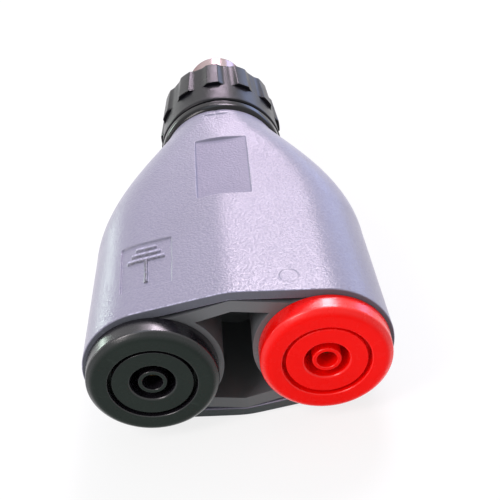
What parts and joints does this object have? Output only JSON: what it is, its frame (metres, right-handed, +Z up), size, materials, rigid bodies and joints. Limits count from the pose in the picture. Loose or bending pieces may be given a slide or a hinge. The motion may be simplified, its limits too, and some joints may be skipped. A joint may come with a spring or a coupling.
{
  "type": "bnc to banana adapter",
  "caption": "Insulated adapter from a bayonet coaxial plug with a fluted grip ring to a pair of 4 mm safety sockets in an oval housing.",
  "frame": {"origin": "on the plug's axis, at the front rim of its outer contact", "axes": "+Y along the plug's axis, out of the plug; +X from the black socket to the red one; +Z up, square to the plane of the two sockets"},
  "size_m": [0.0634, 0.116, 0.034],
  "materials": {
    "housing_grey": "fine-grained moulded grey plastic with a lilac cast",
    "carrier_grey": "moulded dark grey plastic",
    "socket_black": "satin black plastic",
    "socket_red": "satin red plastic",
    "ring_black": "semi-gloss black plastic",
    "nickel": "nickel plate",
    "gold_brass": "gold-plated brass",
    "dielectric_white": "waxy white fluoropolymer",
    "gasket_rubber": "soft silicone",
    "lead_red": "insulated wire",
    "lead_black": "insulated wire",
    "spring_steel": "spring steel"
  },
  "bodies": {
    "adapter": {"housing_shell": "housing_grey", "socket_carrier": "carrier_grey", "black_flange": "socket_black", "black_socket_body": "socket_black", "black_contact": "gold_brass", "black_nut": "socket_black", "red_flange": "socket_red", "red_socket_body": "socket_red", "red_contact": "gold_brass", "red_nut": "socket_red", "neck_collar": "ring_black", "plug_body": "nickel", "outer_contact": "nickel", "dielectric": "dielectric_white", "centre_pin": "gold_brass", "plug_nut": "nickel", "lock_washer": "spring_steel", "ground_tag": "gold_brass", "signal_lead": "lead_red", "ground_lead": "lead_black", "sealing_gasket": "gasket_rubber", "retaining_ring": "spring_steel", "wave_spring": "spring_steel"},
    "thrust": {"thrust_washer": "gold_brass"},
    "coupling": {"coupling_sleeve": "nickel", "grip_ring": "ring_black"}
  },
  "joints": [
    {"name": "coupling_float", "type": "slide", "parent": "adapter", "child": "thrust", "axis": [0, 1, 0], "range_m": [0, 0.0012], "stiffness_N_per_m": 12000, "springref_m": -0.0008, "deforming": ["wave_spring"]},
    {"name": "coupling_spin", "type": "hinge", "parent": "thrust", "child": "coupling", "pos_m": [0, -0.02, 0], "axis": [0, 1, 0], "continuous": true}
  ]
}
